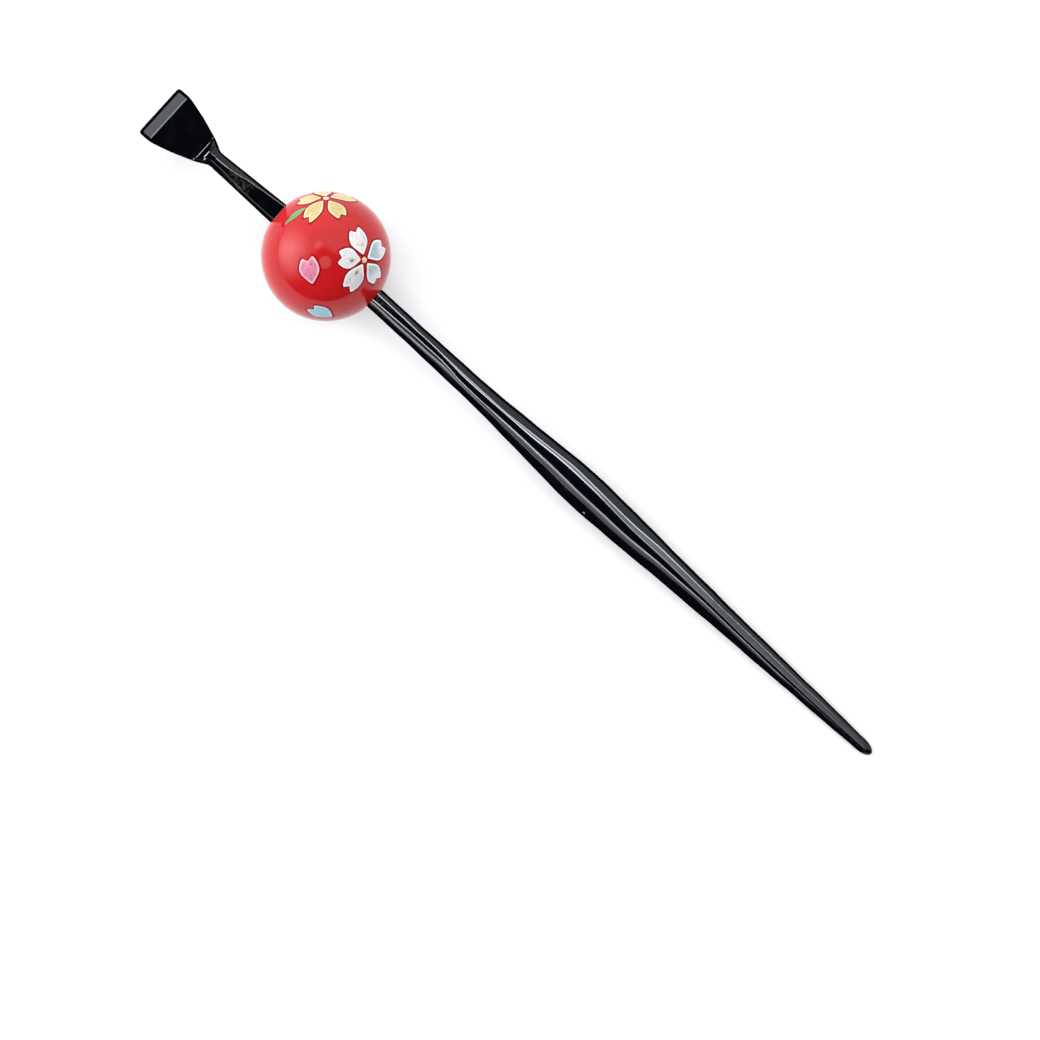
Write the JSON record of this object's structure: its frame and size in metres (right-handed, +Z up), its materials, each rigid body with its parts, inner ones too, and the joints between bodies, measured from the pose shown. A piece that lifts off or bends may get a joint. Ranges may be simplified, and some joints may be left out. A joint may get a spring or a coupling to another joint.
{
  "type": "hair stick",
  "caption": "Long slim hair stick with a flat flared head, a round ball threaded near the head and a leg that swells and tapers to a rounded tip.",
  "frame": {"origin": "the point of the table under the middle of the ball, as the stick lies by itself on its ball and its tip", "axes": "+X along the table towards the tip of the leg, +Z up out of the table, +Y across the flat face of the stick"},
  "size_m": [0.1631, 0.022, 0.022],
  "materials": {
    "black_lacquer": "black lacquer on turned and carved wood, high gloss",
    "red_lacquer": "red lacquer on a turned wooden ball, high gloss",
    "blossom_paint": "painted and powdered petals under clear lacquer, slightly pearly"
  },
  "bodies": {
    "root": {"head": "black_lacquer", "ball": "red_lacquer", "leg": "black_lacquer"}
  },
  "joints": []
}
